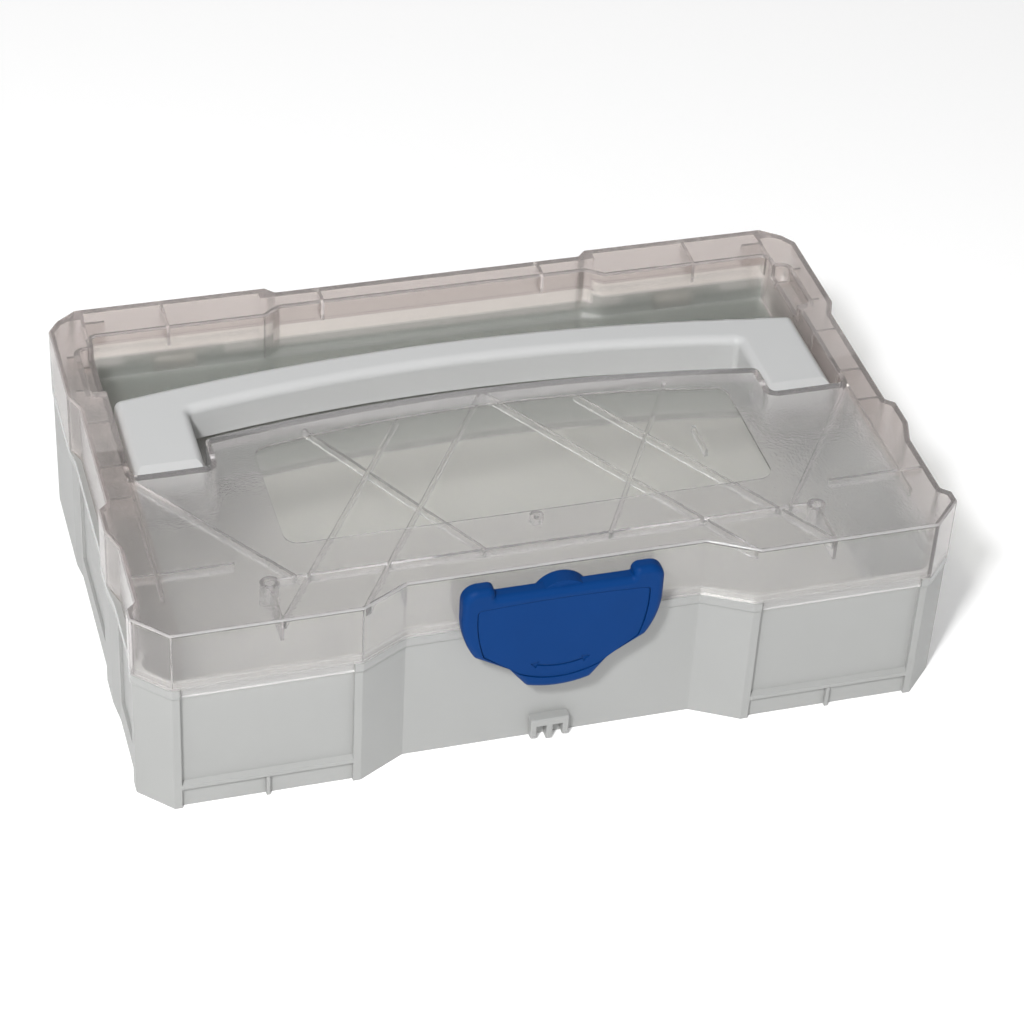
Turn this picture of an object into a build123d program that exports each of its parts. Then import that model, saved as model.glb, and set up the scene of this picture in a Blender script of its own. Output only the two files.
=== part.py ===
from build123d import *
import os

# Stacking storage case with a clear lid, a folding carry handle and a rotary
# front latch.  Millimetres.  X runs along the front, -Y is the front, +Z is up,
# and the origin is the middle of the underside.

# Overall size
case_length = 265.0
case_depth = 171.0
case_height = 71.0
seam_height = 49.0
seam_gap = 0.25
cut_overrun = 1.0

# Plan outline shared by the tub and the lid
front_corner_cut = 10.4
rear_corner_cut = 10.2
rear_corner_knee = 3.4
rear_knee_rise = 5.1
front_bay_width = 95.2
front_bay_depth = 8.3
front_bay_slope = 15.4
rear_bay_width = 108.0
rear_bay_depth = 3.1
rear_bay_slope = 3.0
front_pad_length = 4.8
front_side_bay_length = 26.0
middle_pad_slope = 9.0
middle_pad_length = 11.0
rear_side_bay_length = 50.5
rear_pad_slope = 6.7
side_bay_slope = 2.5
lid_side_bay_depth = 2.8
tub_side_bay_depth = 1.0
outline_round = 1.2

# Tub
tub_skin_step = 0.4
rim_lip_height = 3.4
floor_thickness = 2.0
foot_height = 2.0
foot_width = 9.0
cavity_round = 5.0
tongue_height = 1.8
tongue_thickness = 1.2
tongue_clearance = 0.4
label_panel_depth = 2.0
label_panel_side = 2.6
label_panel_bottom = 10.2
label_ledge_slope = 1.0
label_ledge_thickness = 1.6
toe_rib_width = 1.2
toe_depth = 1.6
hinge_panel_side = 2.6
side_panel_depth = 0.9
side_panel_margin = 3.0
lug_width = 12.7
lug_height = 8.6
lug_depth = 3.0
lug_bar_height = 3.0
lug_slot_width = 3.2
lug_slot_pitch = 5.3
lug_outer_rise = 1.2
lug_round = 0.5
catch_below_seam = 0.9

# Lid
lid_wall = 1.8
deck_thickness = 1.8
top_round = 0.8
rear_strip = 15.8
rear_strip_middle = 11.7
strip_jog_half = 54.0
strip_jog_run = 6.0
side_strip = 13.0
pocket_floor = 18.0
pocket_front = 7.8
finger_front_side = 6.0
finger_front_middle = 14.0
pocket_round = 2.5
side_notch_width = 5.0
side_notch_length = 25.0
side_notch_from_back = 35.0
side_notch_depth = 5.0
side_notch_round = 2.0
window_half = 79.5
window_front = 51.2
window_back_side = 2.0
window_back_middle = 5.5
window_depth = 0.6
window_round = 5.0
label_lip_thickness = 1.3
label_lip_set_back = 0.25
label_lip_gap = 0.3
label_lip_round = 0.55
rib_thickness = 1.1
rib_depth = 2.6
wall_rib_depth = 7.0
hinge_panel_top = 56.0
gate_boss_radius = 3.0
gate_boss_bore = 1.7
gate_boss_shift = 8.5
gate_boss_from_front = 19.0
centre_gate_radius = 2.2
centre_gate_bore = 0.9
centre_gate_from_front = 33.0
front_rib_from_front = 20.0
block_rib_from_front = 30.0
brace_a_rear = 61.0
brace_a_front = 20.0
brace_b_rear = 30.0
stub_rib_from_front = 53.5
stub_rib_length = 13.5
side_ribs_from_back = (25.5, 44.5, 62.5, 86.0, 102.5)
rear_rib_inner = 39.0
rear_rib_outer = 93.0
corner_stub_from_back = 7.5
corner_stub_length = 7.0

# Rear hinge
hinge_length = 34.0
hinge_knuckle_radius = 3.0
hinge_pin_radius = 1.25
hinge_lid_knuckle = 14.0
hinge_side_gap = 0.4
hinge_clearance = 0.35
hinge_end_skin = 1.0
hinge_pin_end_gap = 0.2
fit_clearance = 0.05
tub_relief_height = 5.0
lid_relief_height = 3.4

# Carry handle
handle_gap = 2.0
handle_arm_width = 22.7
handle_top_drop = 3.0
handle_height = 13.0
handle_front = 4.5
handle_back_corner = 37.3
handle_back_middle = 47.8
grip_inner_middle = 35.7
grip_inner_side = 27.0
handle_shell = 2.4
handle_edge_round = 3.0
handle_corner_round = 2.0
handle_nose_length = 5.0
handle_nose_drop = 1.4
handle_rib_thickness = 1.6
handle_rib_pitch = 36.0
handle_rib_count = 5
pivot_forward = 2.5
pivot_below_top = 9.8
handle_pin_radius = 1.5
handle_pin_stand = 0.2
arm_side_gap = 1.2

# Rotary latch
latch_pivot_drop = 0.4
latch_half_width = 32.2
latch_hook_top = 10.6
latch_hook_inner = 22.0
latch_hook_round = 5.0
latch_bar_top = 7.2
latch_flank_x = 30.7
latch_flank_z = 10.1
latch_hip_x = 27.6
latch_hip_z = 16.6
latch_waist_x = 16.2
latch_waist_z = 23.6
latch_stem_end = 32.8
latch_stem_angle = 18.7
latch_hub_radius = 9.3
latch_dome_set_back = 1.6
latch_core_radius = 6.8
latch_lug_clearance = 0.4
latch_front_clear = 0.1
latch_face_thickness = 2.6
latch_wall = 2.0
latch_corner_round = 2.4
latch_notch_round = 0.6
latch_edge_round = 2.2
plate_half_width = 27.3
plate_top = 2.9
plate_top_middle = 3.8
plate_flank_x = 26.9
plate_flank_z = 7.0
plate_hip_x = 24.8
plate_hip_z = 16.0
plate_end = 28.2
plate_end_angle = 28.0
plate_corner_round = 1.2
plate_thickness = 1.1
plate_clearance = 0.25
arrow_radius = 23.6
arrow_half_angle = 20.0
arrow_width = 0.6
arrow_head = 1.6
arrow_depth = 0.4
axle_radius = 1.9
axle_head_radius = 3.4
axle_head_thickness = 1.5
axle_tail = 1.6
axle_boss_radius = 5.1
axle_boss_depth = 1.6
washer_radius = 7.5
washer_thickness = 1.1
washer_seat = 0.1
ring_outer_radius = 4.2
ring_thickness = 0.9
ring_gap = 0.15
ring_groove_depth = 0.5
ring_mouth = 2.4

# Derived planes and places
half_x = case_length / 2
half_y = case_depth / 2
lid_bottom = seam_height + seam_gap
deck_under = case_height - deck_thickness
front_bay_y = half_y - front_bay_depth
hinge_y = half_y - rear_bay_depth
front_bay_half = front_bay_width / 2
front_block_inner = front_bay_half + front_bay_slope
front_block_outer = half_x - front_corner_cut
rear_bay_half = rear_bay_width / 2
rear_block_inner = rear_bay_half + rear_bay_slope
rear_block_outer = half_x - rear_corner_cut
front_corner_y = half_y - front_corner_cut
rear_corner_y = half_y - rear_corner_cut
side_y1 = -front_corner_y + front_pad_length
side_y2 = side_y1 + side_bay_slope
side_y3 = side_y2 + front_side_bay_length
side_y4 = side_y3 + middle_pad_slope
side_y5 = side_y4 + middle_pad_length
side_y6 = side_y5 + side_bay_slope
side_y7 = side_y6 + rear_side_bay_length
side_y8 = side_y7 + rear_pad_slope
tongue_inset = lid_wall + tongue_clearance
cavity_inset = tongue_inset + tongue_thickness
pocket_half = half_x - side_strip
pocket_floor_z = case_height - pocket_floor
pocket_back_y = half_y - rear_strip
pocket_back_middle_y = half_y - rear_strip_middle
handle_half = pocket_half - handle_gap
arm_inner = handle_half - handle_arm_width
arm_pocket_inner = arm_inner - arm_side_gap
handle_top_z = case_height - handle_top_drop
handle_bottom_z = handle_top_z - handle_height
pivot_z = case_height - pivot_below_top
latch_z = (seam_height + tongue_height + deck_under) / 2 - latch_pivot_drop
latch_back_y = front_bay_y + lug_depth + latch_lug_clearance
latch_front_y = half_y - latch_front_clear
latch_depth = latch_front_y - latch_back_y
latch_plate_back_y = latch_front_y - latch_face_thickness
latch_dome_front_y = latch_front_y - latch_dome_set_back
hub_back_y = front_bay_y + washer_seat + washer_thickness + washer_seat
right_through = case_length + case_depth


def both_sides(right_points):
    """Close a right-hand run of points with its mirror image in X."""
    left_points = [(-x, y) for x, y in reversed(right_points)]
    return right_points + left_points


def front_and_side_points(bay_x):
    """Right-hand outline from the front bay round to the rear corner."""
    return [
        (front_bay_half, -front_bay_y),
        (front_block_inner, -half_y),
        (front_block_outer, -half_y),
        (half_x, -front_corner_y),
        (half_x, side_y1),
        (bay_x, side_y2),
        (bay_x, side_y3),
        (half_x, side_y4),
        (half_x, side_y5),
        (bay_x, side_y6),
        (bay_x, side_y7),
        (half_x, side_y8),
        (half_x, rear_corner_y),
        (half_x - rear_corner_knee, rear_corner_y + rear_knee_rise),
    ]


def shell_points(bay_depth):
    """Outer plan outline, with its rear blocks and the shallow bay between them."""
    rear_points = [
        (rear_block_outer, half_y),
        (rear_block_inner, half_y),
        (rear_bay_half, hinge_y),
    ]
    return both_sides(front_and_side_points(half_x - bay_depth) + rear_points)


def hollow_points(bay_depth):
    """Outline that hollows follow: its back runs straight along the hinge line."""
    rear_points = [(rear_block_outer + rear_bay_depth, hinge_y)]
    return both_sides(front_and_side_points(half_x - bay_depth) + rear_points)


def mirrored_lines(line_list):
    """Repeat point pairs on the left of the case as well as on the right."""
    return line_list + [((-x1, y1), (-x2, y2)) for (x1, y1), (x2, y2) in line_list]


# ---------------------------------------------------------------- base tub
# Open moulded tray.  Label panels sink into the two front blocks, hinge panels
# into the two rear ones, and a low tongue round the rim locates the lid.
label_panel_x = front_block_inner + label_panel_side
label_panel_length = front_block_outer - label_panel_side - label_panel_x
label_panel_y = half_y - label_panel_depth
label_panel_top = seam_height - rim_lip_height
label_ledge_z = label_panel_bottom - label_ledge_slope
toe_top = label_ledge_z - label_ledge_thickness
hinge_panel_x = rear_block_inner + hinge_panel_side
hinge_panel_length = rear_block_outer - hinge_panel_side - hinge_panel_x
hinge_x = hinge_panel_x + hinge_panel_length / 2
tub_bay_x = half_x - tub_side_bay_depth - tub_skin_step
side_panel_height = label_panel_top - label_panel_bottom
knuckle_space = hinge_knuckle_radius + hinge_clearance
tub_knuckle_length = (hinge_length - hinge_lid_knuckle) / 2 - hinge_side_gap
tub_knuckle_shift = (hinge_length - tub_knuckle_length) / 2
hinge_centres = [-hinge_x, hinge_x]
tub_knuckle_centres = [x + s * tub_knuckle_shift for x in hinge_centres for s in (-1, 1)]
hinge_slot_y = hinge_y - cavity_inset / 2
hinge_slot_depth = cavity_inset + 2 * hinge_knuckle_radius

with BuildPart() as lug_block:
    with BuildSketch(Plane.XZ.offset(front_bay_y - tub_skin_step)):
        Rectangle(lug_width, lug_height - lug_outer_rise, align=(Align.CENTER, Align.MAX))
        Rectangle(lug_slot_pitch, lug_height, align=(Align.CENTER, Align.MAX))
        with Locations([(s * lug_slot_pitch / 2, -lug_bar_height) for s in (-1, 1)]):
            Rectangle(
                lug_slot_width,
                lug_height,
                align=(Align.CENTER, Align.MAX),
                mode=Mode.SUBTRACT,
            )
    extrude(amount=lug_depth + tub_skin_step)
    fillet(faces().sort_by(Axis.Y)[0].edges(), lug_round)

with BuildPart() as base_tub:
    with BuildSketch():
        Polygon(*shell_points(tub_side_bay_depth), align=None)
        fillet(vertices(), outline_round)
        offset(amount=-tub_skin_step)
    extrude(amount=seam_height)

    # Rim lip that stands a little proud of the skin below it
    with BuildSketch(Plane.XY.offset(seam_height - rim_lip_height)):
        Polygon(*shell_points(tub_side_bay_depth), align=None)
        fillet(vertices(), outline_round)
    extrude(amount=rim_lip_height)

    # Front label panels, open at the top, each with a sloping ledge and a set-back toe
    with BuildSketch(
        Plane.YZ.offset(label_panel_x),
        Plane.YZ.offset(-label_panel_x - label_panel_length),
    ):
        Polygon(
            (-half_y - cut_overrun, label_ledge_z),
            (-half_y + tub_skin_step, label_ledge_z),
            (-label_panel_y, label_panel_bottom),
            (-label_panel_y, seam_height + cut_overrun),
            (-half_y - cut_overrun, seam_height + cut_overrun),
            align=None,
        )
        Polygon(
            (-half_y - cut_overrun, -cut_overrun),
            (-half_y + toe_depth, -cut_overrun),
            (-half_y + toe_depth, toe_top),
            (-half_y - cut_overrun, toe_top),
            align=None,
        )
    extrude(amount=label_panel_length, mode=Mode.SUBTRACT)
    for side in (-1, 1):
        with Locations((side * (label_panel_x + label_panel_length / 2), toe_depth / 2 - half_y, 0)):
            Box(
                toe_rib_width,
                toe_depth - tub_skin_step,
                toe_top,
                align=(Align.CENTER, Align.CENTER, Align.MIN),
            )

    # Rear hinge panels, open at the top
    with BuildSketch(
        Plane.YZ.offset(hinge_panel_x),
        Plane.YZ.offset(-hinge_panel_x - hinge_panel_length),
    ):
        Polygon(
            (half_y + cut_overrun, label_ledge_z),
            (half_y - tub_skin_step, label_ledge_z),
            (hinge_y, label_panel_bottom),
            (hinge_y, seam_height + cut_overrun),
            (half_y + cut_overrun, seam_height + cut_overrun),
            align=None,
        )
    extrude(amount=hinge_panel_length, mode=Mode.SUBTRACT)

    # Shallow panels in the side bays
    for side in (-1, 1):
        for bay_start, bay_end in ((side_y2, side_y3), (side_y6, side_y7)):
            bay_middle = (bay_start + bay_end) / 2
            panel_middle = (label_panel_bottom + label_panel_top) / 2
            with Locations((side * tub_bay_x, bay_middle, panel_middle)):
                Box(
                    2 * side_panel_depth,
                    bay_end - bay_start - 2 * side_panel_margin,
                    side_panel_height,
                    mode=Mode.SUBTRACT,
                )

    # Slope behind the hinge line that the opened lid swings into
    with BuildSketch(Plane.YZ):
        Polygon(
            (hinge_y, seam_height),
            (half_y, seam_height - tub_relief_height),
            (half_y + cut_overrun, seam_height - tub_relief_height),
            (half_y + cut_overrun, seam_height + cut_overrun),
            (hinge_y, seam_height + cut_overrun),
            align=None,
        )
    extrude(amount=right_through, both=True, mode=Mode.SUBTRACT)

    # Tongue round the rim, then the cavity through it
    with BuildSketch(Plane.XY.offset(seam_height - rim_lip_height)):
        Polygon(*hollow_points(lid_side_bay_depth), align=None)
        offset(amount=-tongue_inset)
    extrude(amount=rim_lip_height + tongue_height)
    with BuildSketch(Plane.XY.offset(foot_height + floor_thickness)):
        Polygon(*hollow_points(lid_side_bay_depth), align=None)
        offset(amount=-cavity_inset - cavity_round)
        offset(amount=cavity_round)
    extrude(amount=case_height, mode=Mode.SUBTRACT)

    # Hollow under the floor, leaving a foot all round
    with BuildSketch():
        Polygon(*hollow_points(lid_side_bay_depth), align=None)
        offset(amount=-foot_width)
    extrude(amount=foot_height, mode=Mode.SUBTRACT)

    # Slots for the lid's knuckles, and the tub's own pair of knuckles beside each
    with Locations([(x, hinge_slot_y, seam_height) for x in hinge_centres]):
        Box(
            hinge_lid_knuckle + 2 * hinge_side_gap,
            hinge_slot_depth,
            2 * knuckle_space,
            mode=Mode.SUBTRACT,
        )
    with Locations([(x, hinge_y, seam_height) for x in tub_knuckle_centres]):
        Cylinder(hinge_knuckle_radius, tub_knuckle_length, rotation=(0, 90, 0))
    with Locations([(s * (hinge_x + hinge_end_skin), hinge_y, seam_height) for s in (-1, 1)]):
        Cylinder(
            hinge_pin_radius + fit_clearance,
            hinge_length,
            rotation=(0, 90, 0),
            mode=Mode.SUBTRACT,
        )

    # Coupling lug at the front foot, and the latch's catch just under the seam
    with Locations([(0, 0, lug_top) for lug_top in (lug_height, seam_height - catch_below_seam)]):
        add(lug_block.part)

base_tub.part.label = "base_tub"


# ---------------------------------------------------------------- clear lid
# One clear moulding.  Its deck carries a thin window panel, and a deep pocket
# behind that takes the folded handle.  Ribs run under the deck.
lid_hinge_slot = hinge_length + 2 * hinge_side_gap
rear_hollow_z = hinge_panel_top + lid_wall
label_lip_height = lid_bottom + lid_wall - label_panel_top
front_wall_y = lid_wall / 2 - half_y
rear_wall_y = half_y - lid_wall / 2
front_rib_y = front_rib_from_front - half_y
block_rib_y = block_rib_from_front - half_y
stub_rib_y = stub_rib_from_front - half_y
strip_rib_x = pocket_half + lid_wall / 2
gate_x = window_half + gate_boss_shift
gate_y = gate_boss_from_front - half_y
centre_gate_y = centre_gate_from_front - half_y
side_notch_bottom_z = case_height - side_notch_depth
side_notch_y = half_y - side_notch_from_back
side_notch_places = [(-pocket_half, side_notch_y), (pocket_half, side_notch_y)]

deck_ribs = [
    ((brace_a_rear, finger_front_side), (brace_a_front, front_rib_y)),
    ((brace_b_rear, finger_front_side), (gate_x, front_wall_y)),
    ((0, finger_front_middle), (front_block_inner, front_wall_y)),
    ((strip_rib_x, -pocket_front), (window_half, front_rib_y)),
    ((0, front_rib_y), (gate_x, front_rib_y)),
    ((strip_rib_x, -pocket_front), (strip_rib_x, front_rib_y)),
    ((gate_x + gate_boss_shift, block_rib_y), (half_x - lid_side_bay_depth, block_rib_y)),
]
stub_rib = ((front_block_inner, stub_rib_y + stub_rib_length), (front_block_inner, stub_rib_y))
wall_ribs = [
    ((gate_x, gate_y), (gate_x, front_wall_y)),
    ((rear_rib_inner, pocket_back_middle_y), (rear_rib_inner, hinge_y - lid_wall / 2)),
    ((rear_rib_outer, pocket_back_y), (rear_rib_outer, rear_wall_y)),
    ((strip_rib_x, pocket_back_y), (strip_rib_x, rear_wall_y)),
    (
        (strip_rib_x, half_y - corner_stub_from_back),
        (strip_rib_x - corner_stub_length, half_y - corner_stub_from_back),
    ),
]
lid_bay_wall_x = half_x - lid_side_bay_depth - lid_wall / 2
wall_ribs += [
    ((strip_rib_x, half_y - from_back), (lid_bay_wall_x, half_y - from_back))
    for from_back in side_ribs_from_back
]

with BuildPart() as clear_lid:
    with BuildSketch(Plane.XY.offset(lid_bottom)):
        Polygon(*shell_points(lid_side_bay_depth), align=None)
        fillet(vertices(), outline_round)
    extrude(amount=case_height - lid_bottom)
    fillet(faces().sort_by(Axis.Z)[-1].edges(), top_round)

    # Rear hinge panels and the slope that clears the tub when the lid swings back
    with BuildSketch(
        Plane.YZ.offset(hinge_panel_x),
        Plane.YZ.offset(-hinge_panel_x - hinge_panel_length),
    ):
        Polygon(
            (hinge_y, seam_height),
            (half_y + cut_overrun, seam_height),
            (half_y + cut_overrun, hinge_panel_top),
            (hinge_y, hinge_panel_top),
            align=None,
        )
    extrude(amount=hinge_panel_length, mode=Mode.SUBTRACT)
    with BuildSketch(Plane.YZ):
        Polygon(
            (hinge_y, seam_height),
            (half_y + cut_overrun, seam_height),
            (half_y + cut_overrun, lid_bottom + lid_relief_height),
            (half_y, lid_bottom + lid_relief_height),
            (hinge_y, lid_bottom),
            align=None,
        )
    extrude(amount=right_through, both=True, mode=Mode.SUBTRACT)

    # Hollow under the deck, with two deeper hollows inside the rear rim
    with BuildSketch(Plane.XY.offset(seam_height)):
        Polygon(*hollow_points(lid_side_bay_depth), align=None)
        offset(amount=-lid_wall)
    extrude(amount=deck_under - seam_height, mode=Mode.SUBTRACT)
    with Locations(
        [
            (s * (hinge_panel_x + hinge_panel_length / 2), hinge_y - lid_wall, rear_hollow_z)
            for s in (-1, 1)
        ]
    ):
        Box(
            hinge_panel_length,
            rear_bay_depth,
            deck_under - rear_hollow_z,
            align=(Align.CENTER, Align.MIN, Align.MIN),
            mode=Mode.SUBTRACT,
        )

    # Lips that hang in front of the tub's label panels and hold a label by its top edge
    with BuildSketch(
        Plane.YZ.offset(label_panel_x + label_lip_gap),
        Plane.YZ.offset(label_lip_gap - label_panel_x - label_panel_length),
    ):
        with Locations((label_lip_set_back - half_y, label_panel_top)):
            RectangleRounded(
                label_lip_thickness,
                label_lip_height,
                label_lip_round,
                align=(Align.MIN, Align.MIN),
            )
    extrude(amount=label_panel_length - 2 * label_lip_gap)

    # Ribs under the deck and in the strips round the pocket
    with BuildSketch(Plane.XY.offset(deck_under - rib_depth)):
        for start, end in mirrored_lines(deck_ribs) + [stub_rib]:
            with BuildLine():
                Line(start, end)
            trace(line_width=rib_thickness)
        with Locations((0, centre_gate_y)):
            Circle(centre_gate_radius)
            Circle(centre_gate_bore, mode=Mode.SUBTRACT)
    extrude(amount=rib_depth)
    with BuildSketch(Plane.XY.offset(deck_under - wall_rib_depth)):
        for start, end in mirrored_lines(wall_ribs):
            with BuildLine():
                Line(start, end)
            trace(line_width=rib_thickness)
        with Locations((gate_x, gate_y), (-gate_x, gate_y)):
            Circle(gate_boss_radius)
            Circle(gate_boss_bore, mode=Mode.SUBTRACT)
    extrude(amount=wall_rib_depth)

    # Handle pocket: its walls and floor first, then the pocket itself
    with BuildSketch(Plane.XY.offset(pocket_floor_z - lid_wall)) as pocket_walls:
        with BuildLine():
            ThreePointArc(
                (-arm_pocket_inner, finger_front_side),
                (0, finger_front_middle),
                (arm_pocket_inner, finger_front_side),
            )
            Polyline(
                (arm_pocket_inner, finger_front_side),
                (arm_pocket_inner, -pocket_front),
                (pocket_half, -pocket_front),
                (pocket_half, pocket_back_y),
                (strip_jog_half + strip_jog_run, pocket_back_y),
                (strip_jog_half, pocket_back_middle_y),
                (-strip_jog_half, pocket_back_middle_y),
                (-strip_jog_half - strip_jog_run, pocket_back_y),
                (-pocket_half, pocket_back_y),
                (-pocket_half, -pocket_front),
                (-arm_pocket_inner, -pocket_front),
                (-arm_pocket_inner, finger_front_side),
            )
        make_face()
        fillet(vertices(), pocket_round)
        pocket_face = pocket_walls.sketch.face()
        offset(amount=lid_wall)
    extrude(amount=deck_under - pocket_floor_z + lid_wall)
    with BuildSketch(Plane.XY.offset(side_notch_bottom_z - lid_wall)):
        with Locations(side_notch_places):
            RectangleRounded(
                2 * (side_notch_width + lid_wall),
                side_notch_length + 2 * lid_wall,
                side_notch_round + lid_wall,
            )
    extrude(amount=deck_under - side_notch_bottom_z + lid_wall)
    with BuildSketch(Plane.XY.offset(pocket_floor_z)):
        add(pocket_face)
    extrude(amount=pocket_floor, mode=Mode.SUBTRACT)

    # Notches in the sides of the pocket near its back corners
    with BuildSketch(Plane.XY.offset(side_notch_bottom_z)):
        with Locations(side_notch_places):
            RectangleRounded(2 * side_notch_width, side_notch_length, side_notch_round)
    extrude(amount=side_notch_depth, mode=Mode.SUBTRACT)

    # Thin window panel in the deck
    with BuildSketch(Plane.XY.offset(case_height - window_depth)):
        with BuildLine():
            ThreePointArc(
                (-window_half, -window_back_side),
                (0, window_back_middle),
                (window_half, -window_back_side),
            )
            Polyline(
                (window_half, -window_back_side),
                (window_half, -window_front),
                (-window_half, -window_front),
                (-window_half, -window_back_side),
            )
        make_face()
        fillet(vertices(), window_round)
    extrude(amount=window_depth, mode=Mode.SUBTRACT)

    # Bores for the handle pins, and the boss and bore for the latch axle
    with Locations((0, pivot_forward, pivot_z)):
        Cylinder(
            handle_pin_radius + fit_clearance,
            2 * (pocket_half + lid_wall + handle_pin_stand),
            rotation=(0, 90, 0),
            mode=Mode.SUBTRACT,
        )
    with BuildSketch(Plane.XZ.offset(front_bay_y - lid_wall - axle_boss_depth)):
        with Locations((0, latch_z)):
            Circle(axle_boss_radius)
    extrude(amount=axle_boss_depth)
    with BuildSketch(Plane.XZ.offset(front_bay_y - lid_wall - axle_boss_depth)):
        with Locations((0, latch_z)):
            Circle(axle_radius + fit_clearance)
    extrude(amount=lid_wall + axle_boss_depth, mode=Mode.SUBTRACT)

    # Hinge slots for the tub's knuckles, with the lid's own knuckle between them
    with Locations([(x, hinge_slot_y, seam_height) for x in hinge_centres]):
        Box(lid_hinge_slot, hinge_slot_depth, 2 * knuckle_space, mode=Mode.SUBTRACT)
    with Locations([(x, hinge_y, seam_height) for x in hinge_centres]):
        Cylinder(hinge_knuckle_radius, hinge_lid_knuckle, rotation=(0, 90, 0))
    with Locations([(x, hinge_y, seam_height) for x in hinge_centres]):
        Box(
            hinge_lid_knuckle,
            lid_wall,
            knuckle_space,
            align=(Align.CENTER, Align.MAX, Align.MIN),
        )
        Cylinder(
            hinge_pin_radius + fit_clearance,
            hinge_lid_knuckle,
            rotation=(0, 90, 0),
            mode=Mode.SUBTRACT,
        )

clear_lid.part.label = "clear_lid"


# ---------------------------------------------------------------- carry handle
# U-shaped handle, hollow underneath.  It lies back in the lid's pocket and
# swings up about two pins near the front ends of its arms.
with BuildPart() as carry_handle:
    with BuildSketch(Plane.XY.offset(handle_bottom_z)) as handle_plan:
        with BuildLine():
            ThreePointArc(
                (handle_half, handle_back_corner),
                (0, handle_back_middle),
                (-handle_half, handle_back_corner),
            )
            Polyline(
                (-handle_half, handle_back_corner),
                (-handle_half, -handle_front),
                (-arm_inner, -handle_front),
                (-arm_inner, grip_inner_side),
            )
            ThreePointArc(
                (-arm_inner, grip_inner_side), (0, grip_inner_middle), (arm_inner, grip_inner_side)
            )
            Polyline(
                (arm_inner, grip_inner_side),
                (arm_inner, -handle_front),
                (handle_half, -handle_front),
                (handle_half, handle_back_corner),
            )
        make_face()
        fillet(vertices(), handle_corner_round)
        handle_face = handle_plan.sketch.face()
    extrude(amount=handle_height)
    fillet(faces().sort_by(Axis.Z)[-1].edges(), handle_edge_round)

    # Sloping noses on the arms, and heels turned about the pivot
    with BuildSketch(Plane.YZ):
        Polygon(
            (-handle_front - cut_overrun, handle_top_z - handle_nose_drop),
            (-handle_front, handle_top_z - handle_nose_drop),
            (handle_nose_length - handle_front, handle_top_z),
            (handle_nose_length - handle_front, handle_top_z + cut_overrun),
            (-handle_front - cut_overrun, handle_top_z + cut_overrun),
            align=None,
        )
        with Locations((pivot_forward, pivot_z)):
            Rectangle(
                2 * (handle_front + pivot_forward),
                2 * handle_height,
                align=(Align.MAX, Align.MAX),
            )
            Circle(handle_front + pivot_forward, mode=Mode.SUBTRACT)
    extrude(amount=right_through, both=True, mode=Mode.SUBTRACT)

    # Hollow underside with cross ribs
    with BuildSketch(Plane.XY.offset(handle_bottom_z)):
        add(handle_face)
        offset(amount=-handle_shell)
        with GridLocations(handle_rib_pitch, 0, handle_rib_count, 1):
            Rectangle(handle_rib_thickness, case_depth, mode=Mode.SUBTRACT)
    extrude(amount=handle_height - handle_shell, mode=Mode.SUBTRACT)
    with Locations((0, pivot_forward, pivot_z)):
        Cylinder(
            handle_pin_radius + fit_clearance, case_length, rotation=(0, 90, 0), mode=Mode.SUBTRACT
        )

carry_handle.part.label = "carry_handle"

handle_pin_inner = arm_pocket_inner - lid_wall - handle_pin_stand
handle_pin_outer = pocket_half + lid_wall + handle_pin_stand


# ---------------------------------------------------------------- pins
def handle_pin(side):
    """Steel pin through the lid's pocket walls and one arm of the handle."""
    with BuildPart() as pin:
        with Locations((side * (handle_pin_inner + handle_pin_outer) / 2, pivot_forward, pivot_z)):
            Cylinder(
                handle_pin_radius, handle_pin_outer - handle_pin_inner, rotation=(0, 90, 0)
            )
    return pin


def hinge_pin(side):
    """Steel pin pushed into one rear hinge from its outer end."""
    pin_length = hinge_length - hinge_end_skin - 2 * hinge_pin_end_gap
    with BuildPart() as pin:
        with Locations((side * (hinge_x + hinge_end_skin / 2), hinge_y, seam_height)):
            Cylinder(hinge_pin_radius, pin_length, rotation=(0, 90, 0))
    return pin


handle_pin_left = handle_pin(-1)
handle_pin_left.part.label = "handle_pin_left"
handle_pin_right = handle_pin(1)
handle_pin_right.part.label = "handle_pin_right"
hinge_pin_left = hinge_pin(-1)
hinge_pin_left.part.label = "hinge_pin_left"
hinge_pin_right = hinge_pin(1)
hinge_pin_right.part.label = "hinge_pin_right"


# ---------------------------------------------------------------- rotary latch
# Blue T-shaped latch on an axle in the lid's front wall.  A hub disc stands it
# off the wall, so that it sweeps in front of the catch lug as it turns.
axle_head_y = latch_front_y - plate_thickness - plate_clearance
axle_shoulder_y = axle_head_y - axle_head_thickness
axle_tail_y = front_bay_y - lid_wall - axle_boss_depth - ring_gap - ring_thickness - axle_tail


def latch_plane(forward):
    """Sketch plane that faces forward, centred on the latch's pivot."""
    return Plane(origin=(0, -forward, latch_z), x_dir=(1, 0, 0), z_dir=(0, -1, 0))


def bore(start_y, radius):
    """Bore on the pivot, from a depth outwards through the front of the latch."""
    with BuildPart(mode=Mode.PRIVATE) as hole:
        with BuildSketch(latch_plane(start_y)):
            Circle(radius)
        extrude(amount=latch_front_y + cut_overrun - start_y)
    return hole.part


with BuildSketch() as plate_face:
    with BuildLine():
        ThreePointArc(
            (-plate_half_width, plate_top), (0, plate_top_middle), (plate_half_width, plate_top)
        )
        flank = ThreePointArc(
            (plate_half_width, plate_top),
            (plate_flank_x, -plate_flank_z),
            (plate_hip_x, -plate_hip_z),
        )
        foot = CenterArc((0, 0), plate_end, 270 - plate_end_angle, 2 * plate_end_angle)
        knee = Line(flank @ 1, foot @ 1)
        mirror([flank, knee], about=Plane.YZ)
    make_face()
    offset(amount=-plate_corner_round)
    offset(amount=plate_corner_round)

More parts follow.
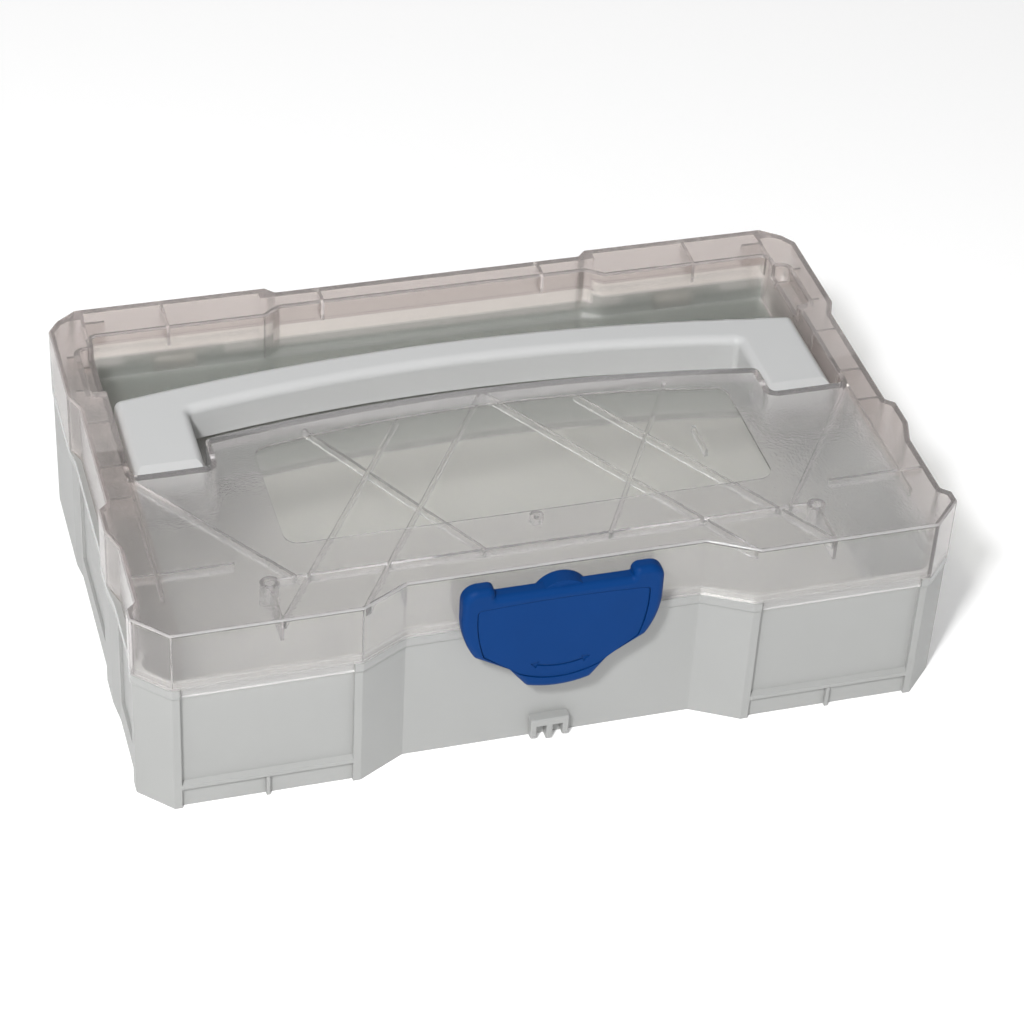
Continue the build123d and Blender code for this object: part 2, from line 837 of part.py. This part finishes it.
with BuildPart() as rotary_latch:
    with BuildSketch(latch_plane(latch_back_y)) as latch_face:
        with BuildLine():
            Polyline(
                (0, latch_bar_top),
                (latch_hook_inner, latch_bar_top),
                (latch_hook_inner, latch_hook_top),
                (latch_half_width, latch_hook_top),
                (latch_half_width, 0),
            )
            ThreePointArc(
                (latch_half_width, 0),
                (latch_flank_x, -latch_flank_z),
                (latch_hip_x, -latch_hip_z),
            )
            toe = CenterArc((0, 0), latch_stem_end, 270, latch_stem_angle)
            Polyline(
                (latch_hip_x, -latch_hip_z),
                (latch_waist_x, -latch_waist_z),
                toe @ 1,
            )
            mirror(about=Plane.YZ)
        make_face()
        hook_corners = vertices().group_by(Axis.Y)[-1].sort_by(Axis.X)
        fillet((hook_corners[0], hook_corners[-1]), latch_hook_round)
        offset(amount=-latch_corner_round)
        offset(amount=latch_corner_round + latch_notch_round)
        offset(amount=-latch_notch_round)
        latch_profile = latch_face.sketch_local.face()
    extrude(amount=latch_depth)
    fillet(faces().sort_by(Axis.Y)[0].edges(), latch_edge_round)

    # Hollow back, with the hub disc and the core that the axle runs in
    with BuildSketch(latch_plane(latch_back_y)):
        add(latch_profile)
        offset(amount=-latch_wall)
    extrude(amount=latch_plate_back_y - latch_back_y, mode=Mode.SUBTRACT)
    with BuildSketch(latch_plane(hub_back_y)):
        Circle(latch_core_radius)
    extrude(amount=latch_plate_back_y - hub_back_y)
    with BuildSketch(latch_plane(hub_back_y)):
        Circle(latch_hub_radius)
    extrude(amount=latch_back_y - hub_back_y)
    with BuildSketch(latch_plane(latch_back_y)):
        Circle(latch_hub_radius)
        with Locations((0, latch_bar_top - latch_wall)):
            Rectangle(
                2 * latch_hub_radius,
                2 * latch_hub_radius,
                align=(Align.CENTER, Align.MAX),
                mode=Mode.SUBTRACT,
            )
    extrude(amount=latch_dome_front_y - latch_back_y)

    # Seat for the face plate, and the stepped bore of the axle
    with BuildSketch(latch_plane(axle_head_y)):
        add(plate_face.sketch)
        offset(amount=plate_clearance)
    extrude(amount=latch_depth, mode=Mode.SUBTRACT)
    add(bore(front_bay_y, axle_radius + fit_clearance), mode=Mode.SUBTRACT)
    add(bore(axle_shoulder_y, axle_head_radius + fit_clearance), mode=Mode.SUBTRACT)

rotary_latch.part.label = "rotary_latch"

with BuildPart() as latch_face_plate:
    with BuildSketch(latch_plane(axle_head_y)):
        add(plate_face.sketch)
    extrude(amount=plate_thickness)
    # Turning mark: an arc about the axle with an arrow head at each end
    with BuildSketch(latch_plane(axle_head_y + plate_thickness - arrow_depth)):
        with BuildLine():
            CenterArc((0, 0), arrow_radius, 270 - arrow_half_angle, 2 * arrow_half_angle)
        trace(line_width=arrow_width)
        for side in (-1, 1):
            with PolarLocations(arrow_radius, 1, 270 + side * arrow_half_angle):
                RegularPolygon(arrow_head, 3, rotation=side * 90)
    extrude(amount=arrow_depth, mode=Mode.SUBTRACT)

latch_face_plate.part.label = "latch_face_plate"

with BuildPart() as latch_axle:
    with BuildSketch(latch_plane(axle_tail_y)):
        Circle(axle_radius)
    extrude(amount=axle_shoulder_y - axle_tail_y)
    with BuildSketch(latch_plane(axle_shoulder_y)):
        Circle(axle_head_radius)
    extrude(amount=axle_head_thickness)
    # Groove of the retaining ring
    with BuildSketch(latch_plane(axle_tail_y + axle_tail)):
        Circle(axle_radius)
        Circle(axle_radius - ring_groove_depth, mode=Mode.SUBTRACT)
    extrude(amount=ring_thickness, mode=Mode.SUBTRACT)

latch_axle.part.label = "latch_axle"

with BuildPart() as latch_retaining_ring:
    with BuildSketch(latch_plane(axle_tail_y + axle_tail + fit_clearance)):
        Circle(ring_outer_radius)
        Circle(axle_radius - ring_groove_depth + fit_clearance, mode=Mode.SUBTRACT)
        Rectangle(
            ring_mouth,
            2 * ring_outer_radius,
            align=(Align.CENTER, Align.MAX),
            mode=Mode.SUBTRACT,
        )
    extrude(amount=ring_thickness - 2 * fit_clearance)

latch_retaining_ring.part.label = "latch_retaining_ring"

with BuildPart() as latch_friction_washer:
    with BuildSketch(latch_plane(front_bay_y + washer_seat)):
        Circle(washer_radius)
        Circle(axle_radius + fit_clearance, mode=Mode.SUBTRACT)
    extrude(amount=washer_thickness)

latch_friction_washer.part.label = "latch_friction_washer"


# ---------------------------------------------------------------- export
pieces = [
    base_tub,
    clear_lid,
    carry_handle,
    handle_pin_left,
    handle_pin_right,
    hinge_pin_left,
    hinge_pin_right,
    rotary_latch,
    latch_face_plate,
    latch_axle,
    latch_retaining_ring,
    latch_friction_washer,
]
os.makedirs("parts", exist_ok=True)
for piece in pieces:
    export_step(piece.part, f"parts/{piece.part.label}.step")
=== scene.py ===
import bmesh
import bpy
from mathutils import Matrix, Vector

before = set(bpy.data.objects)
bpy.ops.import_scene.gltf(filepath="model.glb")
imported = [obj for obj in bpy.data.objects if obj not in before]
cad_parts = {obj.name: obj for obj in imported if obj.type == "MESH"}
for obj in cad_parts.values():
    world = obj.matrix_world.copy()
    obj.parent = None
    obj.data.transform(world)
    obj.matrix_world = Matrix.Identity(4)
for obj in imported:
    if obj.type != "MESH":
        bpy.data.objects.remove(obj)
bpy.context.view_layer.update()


# Camera and studio ------------------------------------------------------------
# A plain white floor in a pale room.  A small softbox high at the front left casts the
# shadows, a broad one in front softens them, and a weak one behind lifts the far side.
view_right = Vector((0.96118, -0.27173, 0.04794))
view_forward = Vector((0.24117, 0.74292, -0.62443))
camera_place = Vector((-0.232335, -0.743103, 0.653000))
camera_lens = 105.14
camera_sensor = 36.0
floor_half = 4.0
floor_colour = (0.94, 0.94, 0.94)
floor_roughness = 0.9
floor_glow = 0.12
room_colour = (1.0, 1.0, 1.0)
room_light = 0.40
tub_middle = Vector((0, 0, 0.03))
lid_middle = Vector((0, 0, 0.05))

camera_data = bpy.data.cameras.new("camera")
camera_data.lens = camera_lens
camera_data.sensor_width = camera_sensor
camera = bpy.data.objects.new("camera", camera_data)
bpy.context.scene.collection.objects.link(camera)
view_up = view_right.cross(view_forward)
camera.matrix_world = Matrix(
    (
        (view_right.x, view_up.x, -view_forward.x, camera_place.x),
        (view_right.y, view_up.y, -view_forward.y, camera_place.y),
        (view_right.z, view_up.z, -view_forward.z, camera_place.z),
        (0, 0, 0, 1),
    )
)
bpy.context.scene.camera = camera


def new_material(name):
    """A material with its node tree and its main shader."""
    material = bpy.data.materials.new(name)
    material.use_nodes = True
    tree = material.node_tree
    return material, tree, tree.nodes["Principled BSDF"]


def feed(tree, socket, value):
    """Link a node's output to a socket, or set the socket to a colour or a number."""
    if isinstance(value, bpy.types.NodeSocket):
        tree.links.new(value, socket)
    elif isinstance(value, tuple):
        socket.default_value = (*value, 1)
    else:
        socket.default_value = value


floor_mesh = bpy.data.meshes.new("floor")
floor_bm = bmesh.new()
bmesh.ops.create_grid(floor_bm, x_segments=1, y_segments=1, size=floor_half)
floor_bm.to_mesh(floor_mesh)
floor_bm.free()
floor = bpy.data.objects.new("floor", floor_mesh)
bpy.context.scene.collection.objects.link(floor)
floor_material, tree, shader = new_material("white_sweep")
feed(tree, shader.inputs["Base Color"], floor_colour)
feed(tree, shader.inputs["Roughness"], floor_roughness)
feed(tree, shader.inputs["Emission Color"], room_colour)
feed(tree, shader.inputs["Emission Strength"], floor_glow)
floor_mesh.materials.append(floor_material)

bpy.context.scene.view_settings.view_transform = "Standard"
room = bpy.data.worlds.new("studio")
room.use_nodes = True
background = room.node_tree.nodes["Background"]
feed(room.node_tree, background.inputs["Color"], room_colour)
feed(room.node_tree, background.inputs["Strength"], room_light)
bpy.context.scene.world = room

for name, place, aim, size, power in (
    ("key_softbox", (-0.60, -0.85, 1.12), tub_middle, 0.16, 20.0),
    ("front_softbox", (-0.28, -1.26, 0.80), tub_middle, 1.20, 4.0),
    ("back_softbox", (0.36, 1.11, 0.97), lid_middle, 0.80, 1.3),
):
    light = bpy.data.lights.new(name, "AREA")
    light.size = size
    light.energy = power
    softbox = bpy.data.objects.new(name, light)
    softbox.location = place
    softbox.rotation_euler = (aim - Vector(place)).to_track_quat("-Z", "Y").to_euler()
    bpy.context.scene.collection.objects.link(softbox)


# Tub --------------------------------------------------------------------------
# The lower half, moulded in one shot of light grey plastic.  The tool left a fine satin
# grain on the walls and a glossier skin on the rounded lip.  The floor inside carries
# painted light: it is lighter than the tub, and paler still towards the back.  The
# inner back wall carries painted shade.
tub_colour = (0.320, 0.323, 0.316)
tub_roughness = 0.42
lip_low = 0.0458
lip_roughness = 0.22
cavity_half_x = 0.1255
cavity_front = -0.0745
cavity_back = 0.0785
floor_low = 0.0036
floor_high = 0.0060
# Painted light: the floor inside is lighter than the tub, and paler still towards the
# back
floor_painted_light_colour = (0.415, 0.408, 0.393)
floor_back_painted_light_colour = (0.540, 0.530, 0.511)
floor_fade_from = 0.025
floor_fade_to = 0.062
# Painted shade on the lower part of the inner back wall
back_wall_from = 0.0768
back_wall_top = 0.0450
back_wall_painted_shade_colour = (0.262, 0.265, 0.258)
mask_edge = 0.0001
# Places of a Mix node's lower, upper and result sockets
colour_sockets = (6, 7, 2)
number_sockets = (2, 3, 0)
drift_detail = 4.0
drift_start = 0.3
drift_end = 0.7
satin_scale = 2200.0
satin_detail = 3.0
satin_height = 0.00002
edge_round = 0.0004
edge_samples = 4


def axis_of(tree, axis, source="Object"):
    """One coordinate of a point of the object, or of the way its surface faces."""
    place = tree.nodes.new("ShaderNodeTexCoord")
    split = tree.nodes.new("ShaderNodeSeparateXYZ")
    feed(tree, split.inputs["Vector"], place.outputs[source])
    return split.outputs[axis]


def fade(tree, value, start, end, low=0.0, high=1.0):
    """A value that fades from low to high while another goes from start to end."""
    scale = tree.nodes.new("ShaderNodeMapRange")
    feed(tree, scale.inputs["Value"], value)
    feed(tree, scale.inputs["From Min"], start)
    feed(tree, scale.inputs["From Max"], end)
    feed(tree, scale.inputs["To Min"], low)
    feed(tree, scale.inputs["To Max"], high)
    return scale.outputs["Result"]


def above(tree, height):
    """A mask that is 1 above a height of the object and 0 under it."""
    return fade(tree, axis_of(tree, "Z"), height - mask_edge, height + mask_edge)


def within(tree, value, low, high):
    """A mask that is 1 where a value lies between low and high."""
    test = tree.nodes.new("ShaderNodeMath")
    test.operation = "COMPARE"
    feed(tree, test.inputs[0], value)
    feed(tree, test.inputs[1], (low + high) / 2)
    feed(tree, test.inputs[2], (high - low) / 2)
    return test.outputs["Value"]


def between(tree, axis, low, high):
    """A mask that is 1 between two places along an axis of the object."""
    return within(tree, axis_of(tree, axis), low, high)


def overlap(tree, first, *others):
    """A mask for where all of the masks are."""
    for other in others:
        both = tree.nodes.new("ShaderNodeMath")
        both.operation = "MULTIPLY"
        both.use_clamp = True
        feed(tree, both.inputs[0], first)
        feed(tree, both.inputs[1], other)
        first = both.outputs["Value"]
    return first


def paint(tree, socket, base, *layers):
    """Give a socket a colour or a number, with others laid over it by their masks."""
    for mask, over in layers:
        mix = tree.nodes.new("ShaderNodeMix")
        under_socket, over_socket, result_socket = number_sockets
        if isinstance(over, tuple):
            mix.data_type = "RGBA"
            under_socket, over_socket, result_socket = colour_sockets
        feed(tree, mix.inputs["Factor"], mask)
        feed(tree, mix.inputs[under_socket], base)
        feed(tree, mix.inputs[over_socket], over)
        base = mix.outputs[result_socket]
    feed(tree, socket, base)


def cloudy_colour(tree, colour, drift, scale):
    """A colour that turns slightly lighter and darker over the piece."""
    place = tree.nodes.new("ShaderNodeTexCoord")
    noise = tree.nodes.new("ShaderNodeTexNoise")
    shades = tree.nodes.new("ShaderNodeValToRGB")
    darker, lighter = shades.color_ramp.elements
    darker.position = drift_start
    lighter.position = drift_end
    darker.color = (*[c * (1 - drift) for c in colour], 1)
    lighter.color = (*[c * (1 + drift) for c in colour], 1)
    feed(tree, noise.inputs["Scale"], scale)
    feed(tree, noise.inputs["Detail"], drift_detail)
    feed(tree, noise.inputs["Vector"], place.outputs["Object"])
    feed(tree, shades.inputs["Fac"], noise.outputs["Fac"])
    return shades.outputs["Color"]


def moulded_grain(tree, shader, scale, height, edge=0.0, detail=satin_detail):
    """Fine moulded grain, over softly rounded edges where an edge is given."""
    place = tree.nodes.new("ShaderNodeTexCoord")
    noise = tree.nodes.new("ShaderNodeTexNoise")
    bump = tree.nodes.new("ShaderNodeBump")
    feed(tree, noise.inputs["Scale"], scale)
    feed(tree, noise.inputs["Detail"], detail)
    feed(tree, noise.inputs["Vector"], place.outputs["Object"])
    feed(tree, bump.inputs["Distance"], height)
    feed(tree, bump.inputs["Height"], noise.outputs["Fac"])
    feed(tree, shader.inputs["Normal"], bump.outputs["Normal"])
    if edge:
        rounding = tree.nodes.new("ShaderNodeBevel")
        rounding.samples = edge_samples
        feed(tree, rounding.inputs["Radius"], edge)
        feed(tree, bump.inputs["Normal"], rounding.outputs["Normal"])
    return bump


def dress(node, material):
    """Give a carried-over node its finish."""
    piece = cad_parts[node]
    piece.data.materials.clear()
    piece.data.materials.append(material)


tub_plastic, tree, shader = new_material("tub_plastic")
cavity = overlap(
    tree,
    between(tree, "X", -cavity_half_x, cavity_half_x),
    between(tree, "Y", cavity_front, cavity_back),
)
inner_floor = overlap(tree, cavity, between(tree, "Z", floor_low, floor_high))
painted_light_back_of_floor = overlap(
    tree, inner_floor, fade(tree, axis_of(tree, "Y"), floor_fade_from, floor_fade_to)
)
# Where the painted shade goes on the inner back wall
back_wall = overlap(
    tree,
    cavity,
    between(tree, "Y", back_wall_from, cavity_back),
    between(tree, "Z", floor_high, back_wall_top),
)
paint(
    tree,
    shader.inputs["Base Color"],
    cloudy_colour(tree, tub_colour, drift=0.015, scale=35.0),
    (inner_floor, floor_painted_light_colour),
    (painted_light_back_of_floor, floor_back_painted_light_colour),
    (back_wall, back_wall_painted_shade_colour),
)
lip = above(tree, lip_low)
paint(tree, shader.inputs["Roughness"], tub_roughness, (lip, lip_roughness))
moulded_grain(tree, shader, satin_scale, satin_height, edge=edge_round)
dress("base_tub", tub_plastic)


# Lid --------------------------------------------------------------------------
# The clear upper half, moulded in one shot of plastic with a faint warm smoke tint.
# The tool's etching veils the deck.  The window and the walls are clear, and the strips
# round the handle's pocket duller and warmer.  The pocket carries painted shade on its
# floor and front wall, painted light on its finger gap, and painted bands of light and
# shade on its rear wall.
deck_face = 0.0707
clear_tint = (0.915, 0.92, 0.90)
clear_roughness = 0.08
clear_clarity = 0.96
clear_grain = 0.03
etched_tint = (0.81, 0.795, 0.805)
etched_roughness = 0.17
etched_clarity = 0.92
etched_grain = 1.0
pebble_scale = 1100.0
pebble_detail = 2.0
pebble_height = 0.00018
deck_rear_from = 0.0064
deck_rear_to = 0.0400
deck_rear_clarity = 0.82
wall_top = 0.0685
wall_tint = (0.88, 0.875, 0.875)
wall_roughness = 0.12
wall_clarity = 0.93
slope_low = 0.25
slope_high = 0.97
slope_clarity = 0.70
past_the_end = 1.0
strip_inner_x = 0.1188
strip_inner_y = 0.0695
strip_front = -0.075
strip_full = -0.015
strip_front_share = 0.35
strip_tint = (0.80, 0.755, 0.735)
strip_roughness = 0.27
strip_clarity = 0.93
# Painted shade on the floor of the handle's pocket
pocket_low = 0.0515
pocket_thick = 0.0020
pocket_painted_shade = (0.58, 0.605, 0.58)
# Painted light on the pocket floor in the finger gap, over the bar's shadow; it is also
# hazier
finger_gap_fade_from = 0.027
finger_gap_fade_to = 0.048
finger_gap_painted_light = (0.86, 0.85, 0.84)
finger_gap_clarity = 0.90
# Painted shade on the pocket's front wall
front_wall_from = 0.0035
front_wall_to = 0.0148
front_wall_top = 0.0655
front_wall_painted_shade = (0.58, 0.60, 0.58)
# Painted bands on the pocket's rear wall, for the tub's back rim seen through it:
# painted shade, a band of painted light, and a thin darker painted line
rear_wall_from = 0.0690
rear_wall_to = 0.0760
rear_jog_half = 0.0570
rear_jog_rise = 0.0036
rear_dark_low = 0.0400
rear_dark_top = 0.0609
rear_pale_top = 0.0666
rear_line_top = 0.0672
rear_painted_shade = (0.62, 0.64, 0.62)
rear_painted_light = (1.0, 0.985, 0.955)
rear_painted_line = (0.60, 0.55, 0.54)
lid_refraction = 1.5
lid_lamp_tint = (0.70, 0.705, 0.69)
lid_body_tint = (0.58, 0.44, 0.47)
lid_body_density = 22.0


def outside(tree, mask):
    """A mask for where another one isn't."""
    return fade(tree, mask, 0.0, 1.0, low=1.0, high=0.0)


clear_plastic, tree, shader = new_material("clear_plastic")
deck = above(tree, deck_face)
deck_rear = overlap(tree, deck, between(tree, "Y", deck_rear_from, deck_rear_to))
walls = between(tree, "Z", 0.0, wall_top)
slopes = within(tree, axis_of(tree, "Z", source="Normal"), slope_low, slope_high)
middle = overlap(
    tree,
    between(tree, "X", -strip_inner_x, strip_inner_x),
    between(tree, "Y", -past_the_end, strip_inner_y),
)
strips = overlap(
    tree,
    outside(tree, middle),
    fade(tree, axis_of(tree, "Y"), strip_front, strip_full, low=strip_front_share),
)
pocket_floor = overlap(
    tree,
    middle,
    between(tree, "Z", pocket_low - pocket_thick, pocket_low + pocket_thick),
)
behind_finger_gap = fade(
    tree, axis_of(tree, "Y"), finger_gap_fade_from, finger_gap_fade_to
)
finger_gap = overlap(tree, pocket_floor, outside(tree, behind_finger_gap))
front_wall = overlap(
    tree,
    between(tree, "Y", front_wall_from, front_wall_to),
    between(tree, "Z", pocket_low + pocket_thick, front_wall_top),
)
rear_wall = between(tree, "Y", rear_wall_from, rear_wall_to)
stepped_height = tree.nodes.new("ShaderNodeMath")
stepped_height.operation = "MULTIPLY_ADD"
feed(tree, stepped_height.inputs[0], between(tree, "X", -rear_jog_half, rear_jog_half))
feed(tree, stepped_height.inputs[1], rear_jog_rise)
feed(tree, stepped_height.inputs[2], axis_of(tree, "Z"))
rear_wall_painted_bands = [
    (
        overlap(
            tree, rear_wall, within(tree, stepped_height.outputs["Value"], low, high)
        ),
        tint,
    )
    for low, high, tint in (
        (rear_dark_low, rear_dark_top, rear_painted_shade),
        (rear_dark_top, rear_pale_top, rear_painted_light),
        (rear_pale_top, rear_line_top, rear_painted_line),
    )
]
# The pocket's colours laid over here are painted shade and painted light
paint(
    tree,
    shader.inputs["Base Color"],
    clear_tint,
    (deck, etched_tint),
    (walls, wall_tint),
    (pocket_floor, pocket_painted_shade),
    (finger_gap, finger_gap_painted_light),
    (front_wall, front_wall_painted_shade),
    (strips, strip_tint),
    *rear_wall_painted_bands,
)
paint(
    tree,
    shader.inputs["Roughness"],
    clear_roughness,
    (deck, etched_roughness),
    (walls, wall_roughness),
    (strips, strip_roughness),
)
paint(
    tree,
    shader.inputs["Transmission Weight"],
    clear_clarity,
    (deck, etched_clarity),
    (walls, wall_clarity),
    (strips, strip_clarity),
    (deck_rear, deck_rear_clarity),
    (finger_gap, finger_gap_clarity),
    (slopes, slope_clarity),
)
pebble = moulded_grain(tree, shader, pebble_scale, pebble_height, detail=pebble_detail)
paint(tree, pebble.inputs["Strength"], clear_grain, (deck, etched_grain))
feed(tree, shader.inputs["IOR"], lid_refraction)

# Lamps shine through the lid with a tint, and its body takes up a little more light
lamp_ray = tree.nodes.new("ShaderNodeLightPath")
lamp_pass = tree.nodes.new("ShaderNodeBsdfTransparent")
lamp_mix = tree.nodes.new("ShaderNodeMixShader")
body = tree.nodes.new("ShaderNodeVolumeAbsorption")
surface = tree.nodes["Material Output"]
feed(tree, lamp_pass.inputs["Color"], lid_lamp_tint)
feed(tree, lamp_mix.inputs["Fac"], lamp_ray.outputs["Is Shadow Ray"])
feed(tree, lamp_mix.inputs[1], shader.outputs["BSDF"])
feed(tree, lamp_mix.inputs[2], lamp_pass.outputs["BSDF"])
feed(tree, surface.inputs["Surface"], lamp_mix.outputs["Shader"])
feed(tree, body.inputs["Color"], lid_body_tint)
feed(tree, body.inputs["Density"], lid_body_density)
feed(tree, surface.inputs["Volume"], body.outputs["Volume"])
dress("clear_lid", clear_plastic)


# Hinge pins -------------------------------------------------------------------
# Two smooth rods of pale moulded plastic, each pushed from its outer end through the
# knuckles of the tub and the lid at the back.
rod_colour = (0.66, 0.67, 0.66)


def plain_finish(name, colour, drift, drift_scale, roughness, metallic=0.0):
    """A material of one gloss, with a colour that drifts slightly."""
    material, tree, shader = new_material(name)
    shades = cloudy_colour(tree, colour, drift, drift_scale)
    feed(tree, shader.inputs["Base Color"], shades)
    feed(tree, shader.inputs["Roughness"], roughness)
    feed(tree, shader.inputs["Metallic"], metallic)
    return material, tree, shader


rod_plastic, tree, shader = plain_finish(
    "rod_plastic", rod_colour, drift=0.015, drift_scale=200.0, roughness=0.35
)
moulded_grain(tree, shader, scale=2500.0, height=0.00001)
for pin in ("hinge_pin_left", "hinge_pin_right"):
    dress(pin, rod_plastic)


# Carry handle -----------------------------------------------------------------
# A hollow-backed bar with two arms, moulded in a slightly cooler grey than the tub.
# It folds down into the lid's pocket, and its arms are bored for the handle pins.
handle_colour = (0.490, 0.495, 0.495)

handle_plastic, tree, shader = plain_finish(
    "handle_plastic", handle_colour, drift=0.012, drift_scale=30.0, roughness=0.45
)
moulded_grain(tree, shader, satin_scale, satin_height, edge=edge_round)
dress("carry_handle", handle_plastic)


# Handle pins ------------------------------------------------------------------
# Two pins of drawn steel.  Each goes through the walls of the lid's pocket and one arm
# of the handle.
steel_colour = (0.60, 0.60, 0.61)

drawn_steel, tree, shader = plain_finish(
    "drawn_steel",
    steel_colour,
    drift=0.05,
    drift_scale=300.0,
    roughness=0.3,
    metallic=1.0,
)
for pin in ("handle_pin_left", "handle_pin_right"):
    dress(pin, drawn_steel)


# Latch washer -----------------------------------------------------------------
# A thin washer of natural slippery plastic on the latch's axle, between the latch and
# the lid's front wall.  Its drag holds the latch where it is turned.
washer_colour = (0.72, 0.71, 0.68)

natural_plastic, tree, shader = plain_finish(
    "natural_plastic", washer_colour, drift=0.02, drift_scale=250.0, roughness=0.4
)
dress("latch_friction_washer", natural_plastic)


# Rotary latch -----------------------------------------------------------------
# A T-shaped knob moulded in deep blue plastic, with a hub disc at its back.  A plate of
# the same plastic is let into its face flush and carries the turning mark.
latch_colour = (0.001, 0.034, 0.150)
latch_sheen = 0.08

latch_plastic, tree, shader = plain_finish(
    "latch_plastic", latch_colour, drift=0.03, drift_scale=60.0, roughness=0.5
)
feed(tree, shader.inputs["Specular IOR Level"], latch_sheen)
moulded_grain(tree, shader, scale=2600.0, height=satin_height, edge=edge_round)
for piece in ("rotary_latch", "latch_face_plate"):
    dress(piece, latch_plastic)


# Latch axle -------------------------------------------------------------------
# A turned steel axle.  Its head sits in the latch behind the face plate, and its shank
# runs through the washer and the lid's front wall.
dress("latch_axle", drawn_steel)


# Retaining ring ---------------------------------------------------------------
# An open ring of blackened spring steel, snapped into the axle's groove inside the lid.
# It keeps the latch and its axle from coming out.
ring_colour = (0.30, 0.30, 0.31)

black_steel, tree, shader = plain_finish(
    "black_steel",
    ring_colour,
    drift=0.06,
    drift_scale=400.0,
    roughness=0.35,
    metallic=1.0,
)
dress("latch_retaining_ring", black_steel)
